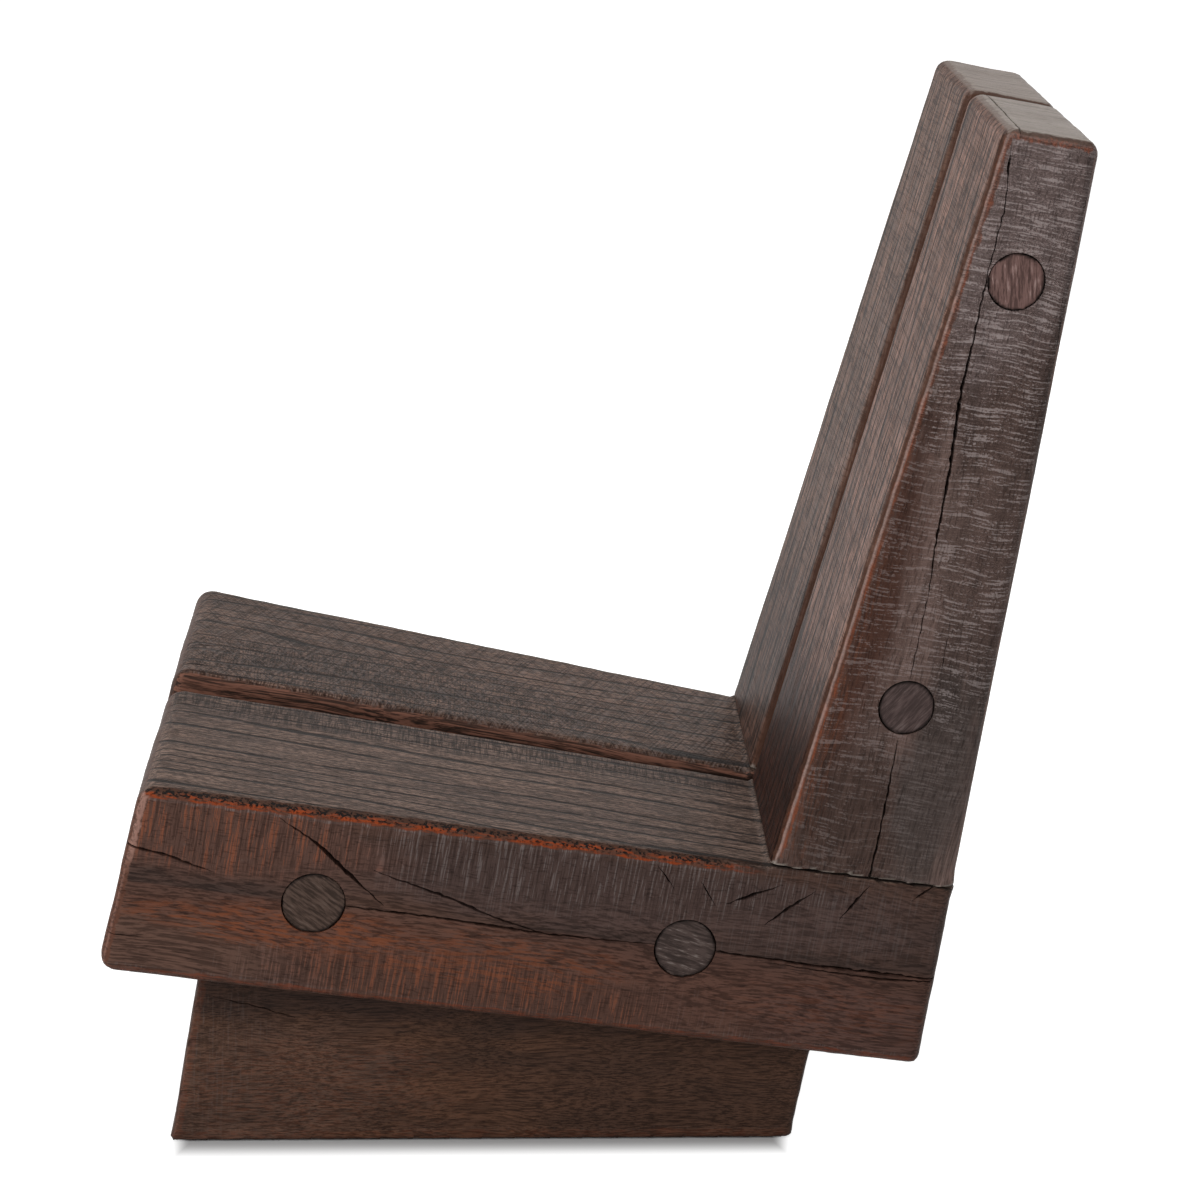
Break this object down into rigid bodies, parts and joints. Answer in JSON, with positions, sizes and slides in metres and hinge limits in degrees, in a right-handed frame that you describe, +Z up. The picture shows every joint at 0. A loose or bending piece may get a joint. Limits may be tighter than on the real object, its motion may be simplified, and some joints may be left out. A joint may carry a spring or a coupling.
{
  "type": "occasional chair",
  "caption": "Low occasional chair of paired heavy timbers: a tapered seat falling to the rear, a leaning tapered back, an inset base, and cross dowels with flush ends.",
  "frame": {"origin": "on the floor under the middle of the chair's bounding box", "axes": "+X to the rear of the chair, +Y to the sitter's right, +Z up"},
  "size_m": [0.744, 0.5456, 0.8613],
  "materials": {
    "timber_red": "satin wax over sawn timber",
    "timber_brown": "satin wax over sawn timber",
    "timber_dark": "satin wax over sawn timber",
    "dowel": "cut end grain",
    "tenon": "bare wood",
    "steel": "zinc plated"
  },
  "bodies": {
    "root": {"seat_timber_left": "timber_red", "seat_timber_right": "timber_brown", "back_timber_left": "timber_dark", "back_timber_right": "timber_brown", "base_timber_left": "timber_brown", "base_timber_right": "timber_dark", "seat_dowel_front": "dowel", "seat_dowel_rear": "dowel", "back_dowel_lower": "dowel", "back_dowel_upper": "dowel", "tenon_left_outer": "tenon", "tenon_left_inner": "tenon", "back_bolt_left": "steel", "back_washer_left": "steel", "base_bolt_left_front": "steel", "base_washer_left_front": "steel", "base_bolt_left_rear": "steel", "base_washer_left_rear": "steel", "tenon_right_outer": "tenon", "tenon_right_inner": "tenon", "back_bolt_right": "steel", "back_washer_right": "steel", "base_bolt_right_front": "steel", "base_washer_right_front": "steel", "base_bolt_right_rear": "steel", "base_washer_right_rear": "steel"}
  },
  "joints": []
}
